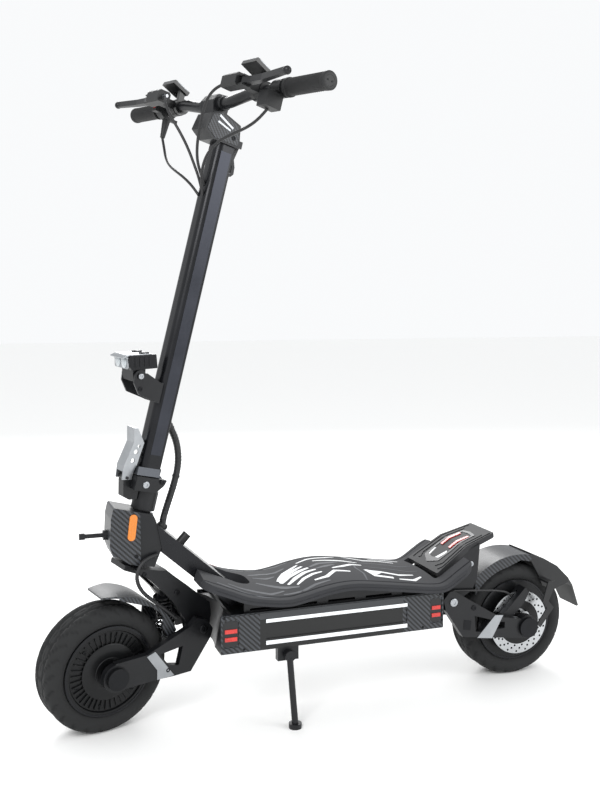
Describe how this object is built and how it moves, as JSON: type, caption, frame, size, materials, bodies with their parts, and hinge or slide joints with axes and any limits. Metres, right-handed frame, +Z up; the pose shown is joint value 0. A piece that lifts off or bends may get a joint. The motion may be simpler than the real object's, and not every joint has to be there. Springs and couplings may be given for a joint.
{
  "type": "electric kick scooter",
  "caption": "Folding electric kick scooter: tall raked stem with flat handlebar, wide padded deck, kick plate, hub motor wheels on swing arms, side stand.",
  "frame": {"origin": "on the floor, on the middle plane of the chassis, halfway between the two wheel axles", "axes": "+X backwards, +Y to the scooter's right, +Z up; the handlebar is parked turned 17.3 degrees to the left"},
  "size_m": [1.2278, 0.6805, 1.304],
  "materials": {
    "black_alloy": "satin black anodised",
    "carbon_print": "gloss carbon-weave print",
    "strip_lens": "white diffuser",
    "red_lens": "gloss",
    "cell_wrap": "shrink wrap",
    "deck_rubber": "moulded matte with printed pattern",
    "kick_plastic": "ribbed matte",
    "satin_alloy": "satin black anodised",
    "bearing_steel": "ground",
    "amber_lens": "faceted",
    "black_plastic": "moulded",
    "cable_wrap": "spiral wrapped",
    "satin_silver": "satin",
    "collar_grey": "satin",
    "grip_rubber": "diamond moulded",
    "screen": "gloss",
    "hose_black": "satin",
    "button_grey": "satin",
    "button_red": "gloss",
    "lamp_housing": "satin",
    "axle_steel": "blackened",
    "tyre": "matte",
    "motor_black": "satin",
    "disc_steel": "ground",
    "spring_black": "powder coated",
    "rod_chrome": "polished"
  },
  "bodies": {
    "chassis": {"chassis_box": "black_alloy", "side_covers": "carbon_print", "light_strips": "strip_lens", "red_lamps": "red_lens", "battery_and_controller": "cell_wrap", "deck_pad": "deck_rubber", "deck_riser": "black_alloy", "kick_plate": "kick_plastic", "kick_brackets": "black_alloy", "neck_tube": "satin_alloy", "head_tube": "black_alloy", "head_cover": "carbon_print", "headset_bearings": "bearing_steel", "reflectors": "amber_lens", "charge_port": "black_plastic"},
    "steerer": {"front_fork": "black_alloy", "steerer_tube": "black_alloy", "hinge_lower": "black_alloy", "lower_harness": "cable_wrap"},
    "latch": {"fold_latch": "satin_silver"},
    "stem": {"stem_collar": "collar_grey", "stem_tube": "satin_alloy", "stem_head": "black_alloy", "handlebar": "black_alloy", "grips": "grip_rubber", "bar_controls": "black_plastic", "displays": "screen", "headlight_bracket": "black_alloy", "control_hoses": "hose_black", "harness_upper": "cable_wrap"},
    "hook": {"stem_hook": "black_alloy"},
    "mode_key": {"mode_button": "button_grey"},
    "power_key": {"power_button": "button_red"},
    "throttle": {"throttle_lever": "black_plastic"},
    "left_lever": {"brake_lever_left": "black_alloy"},
    "right_lever": {"brake_lever_right": "black_alloy"},
    "lamp": {"headlight": "lamp_housing"},
    "front_arm": {"front_arms": "black_alloy", "front_axle": "axle_steel", "front_caliper": "black_alloy", "front_fender": "carbon_print"},
    "front_wheel": {"front_tyre": "tyre", "front_hub": "motor_black", "front_disc": "disc_steel"},
    "front_damper": {"front_shock_body": "black_alloy", "front_spring": "spring_black"},
    "front_rod": {"front_shock_rod": "rod_chrome"},
    "rear_arm": {"rear_arms": "black_alloy", "rear_axle": "axle_steel", "rear_caliper": "black_alloy", "rear_fender": "carbon_print", "mudflap": "black_plastic", "rear_brake_hose": "hose_black"},
    "rear_wheel": {"rear_tyre": "tyre", "rear_hub": "motor_black", "rear_disc": "disc_steel"},
    "rear_damper": {"rear_shock_body": "black_alloy", "rear_spring": "spring_black"},
    "rear_rod": {"rear_shock_rod": "rod_chrome"},
    "stand": {"side_stand": "black_alloy"}
  },
  "joints": [
    {"name": "steering", "type": "hinge", "parent": "chassis", "child": "steerer", "pos_m": [-0.38773, 0, 0.38812], "axis": [0.2419, 0, 0.9703], "range_deg": [-62, 28], "deforming": ["lower_harness"]},
    {"name": "stem_fold", "type": "hinge", "parent": "steerer", "child": "stem", "pos_m": [-0.35011, 0.00327, 0.49561], "axis": [-0.2885, 0.9548, 0.0719], "range_deg": [0, 83], "deforming": ["harness_upper"]},
    {"name": "fold_latch", "type": "hinge", "parent": "steerer", "child": "latch", "pos_m": [-0.4144, -0.01704, 0.50731], "axis": [0.2885, -0.9548, -0.0719], "range_deg": [0, 75]},
    {"name": "stem_hook", "type": "hinge", "parent": "stem", "child": "hook", "pos_m": [-0.17244, 0.00714, 1.15687], "axis": [0.2885, -0.9548, -0.0719], "range_deg": [0, 100]},
    {"name": "mode_button", "type": "slide", "parent": "stem", "child": "mode_key", "axis": [-0.9264, -0.2974, 0.231], "range_m": [0, 0.0015], "stiffness_N_per_m": 600},
    {"name": "power_button", "type": "slide", "parent": "stem", "child": "power_key", "axis": [0.9264, 0.2974, -0.231], "range_m": [0, 0.002], "stiffness_N_per_m": 600},
    {"name": "throttle", "type": "hinge", "parent": "stem", "child": "throttle", "pos_m": [-0.28204, 0.2023, 1.25477], "axis": [-0.2715, 0.9597, 0.0721], "range_deg": [0, 35], "stiffness_Nm_per_rad": 0.25, "springref_deg": -11.46},
    {"name": "brake_lever_left", "type": "hinge", "parent": "stem", "child": "left_lever", "pos_m": [-0.21721, -0.19879, 1.23605], "axis": [0.2419, 0, 0.9703], "range_deg": [0, 15], "stiffness_Nm_per_rad": 3, "springref_deg": -5.73},
    {"name": "brake_lever_right", "type": "hinge", "parent": "stem", "child": "right_lever", "pos_m": [-0.31993, 0.1411, 1.26166], "axis": [-0.2419, 0, -0.9703], "range_deg": [0, 15], "stiffness_Nm_per_rad": 3, "springref_deg": -5.73},
    {"name": "headlight_tilt", "type": "hinge", "parent": "stem", "child": "lamp", "pos_m": [-0.39289, -0.02557, 0.70683], "axis": [-0.2885, 0.9548, 0.0719], "range_deg": [-15, 20]},
    {"name": "front_suspension", "type": "hinge", "parent": "steerer", "child": "front_arm", "pos_m": [-0.27814, 0.04809, 0.18951], "axis": [-0.2885, 0.9548, 0.0719], "range_deg": [-2, 7], "stiffness_Nm_per_rad": 2500, "deforming": ["front_spring"]},
    {"name": "front_wheel", "type": "hinge", "parent": "front_arm", "child": "front_wheel", "pos_m": [-0.46189, -0.00282, 0.12818], "axis": [-0.2885, 0.9548, 0.0719], "continuous": true},
    {"name": "front_damper_swing", "type": "hinge", "parent": "steerer", "child": "front_damper", "pos_m": [-0.33282, 0.02617, 0.26106], "axis": [-0.2885, 0.9548, 0.0719], "range_deg": [-0.5, 1.5]},
    {"name": "front_damper_stroke", "type": "slide", "parent": "front_damper", "child": "front_rod", "axis": [0.0802, 0.099, -0.9919], "range_m": [-0.008, 0.003]},
    {"name": "rear_suspension", "type": "hinge", "parent": "chassis", "child": "rear_arm", "pos_m": [0.2762, 0, 0.2031], "axis": [0, -1, 0], "range_deg": [-2, 7], "stiffness_Nm_per_rad": 2500, "deforming": ["rear_spring", "rear_brake_hose"]},
    {"name": "rear_wheel", "type": "hinge", "parent": "rear_arm", "child": "rear_wheel", "pos_m": [0.4625, 0, 0.1275], "axis": [0, 1, 0], "continuous": true},
    {"name": "rear_damper_swing", "type": "hinge", "parent": "chassis", "child": "rear_damper", "pos_m": [0.334, 0, 0.275], "axis": [0, -1, 0], "range_deg": [-0.5, 1.5]},
    {"name": "rear_damper_stroke", "type": "slide", "parent": "rear_damper", "child": "rear_rod", "axis": [-0.0895, 0, -0.996], "range_m": [-0.008, 0.003]},
    {"name": "side_stand", "type": "hinge", "parent": "chassis", "child": "stand", "pos_m": [-0.1034, -0.104, 0.1397], "axis": [0, -1, 0], "range_deg": [0, 92]}
  ],
  "couplings": [
    {"joint": "front_damper_swing", "follows": "front_suspension", "ratio": 0.1409},
    {"joint": "front_damper_stroke", "follows": "front_suspension", "m_per_rad": -0.0511},
    {"joint": "rear_damper_swing", "follows": "rear_suspension", "ratio": 0.1407},
    {"joint": "rear_damper_stroke", "follows": "rear_suspension", "m_per_rad": -0.0511}
  ]
}
